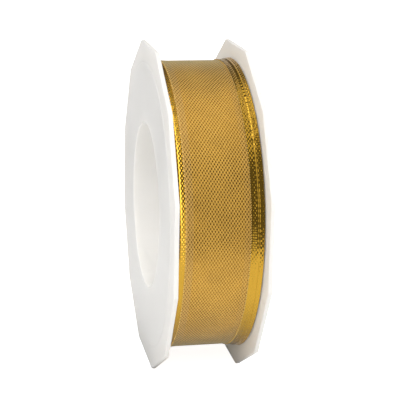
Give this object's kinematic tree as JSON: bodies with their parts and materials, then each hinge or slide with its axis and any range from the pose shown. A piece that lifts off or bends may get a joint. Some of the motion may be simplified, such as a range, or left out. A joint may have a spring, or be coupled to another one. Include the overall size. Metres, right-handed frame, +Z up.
{
  "type": "ribbon spool",
  "caption": "Twelve-sided open-bore plastic spool wound with a metallic woven gift ribbon that has foil edges and edge wires; its taped free end lifts off the roll.",
  "frame": {"origin": "on the surface the spool stands on, below the middle of the spool", "axes": "+X along the spool axis, from the near half to the far half; +Y to the back of the spool, where the free end of the ribbon is; +Z up"},
  "size_m": [0.0286, 0.0986, 0.0985],
  "materials": {
    "spool_plastic": "satin moulded, slightly translucent white",
    "ribbon_web": "plain weave with metallic yarn, satin gold",
    "ribbon_foil": "bright metallic gold foil weave",
    "edge_wire": "fine gold-coloured wire",
    "clear_tape": "clear film tape"
  },
  "bodies": {
    "spool": {"near_half_spool": "spool_plastic", "far_half_spool": "spool_plastic", "start_tape": "clear_tape", "ribbon_web_turns": "ribbon_web", "near_selvage_turns": "ribbon_foil", "far_selvage_turns": "ribbon_foil", "near_edge_wire_turns": "edge_wire", "far_edge_wire_turns": "edge_wire"},
    "free_end": {"tail_web": "ribbon_web", "tail_near_selvage": "ribbon_foil", "tail_far_selvage": "ribbon_foil", "tail_near_edge_wire": "edge_wire", "tail_far_edge_wire": "edge_wire", "closure_tape": "clear_tape"}
  },
  "joints": [
    {"name": "free_end_lift", "type": "hinge", "parent": "spool", "child": "free_end", "pos_m": [0, 0.01682, 0.09089], "axis": [1, 0, 0], "range_deg": [0, 60]}
  ]
}
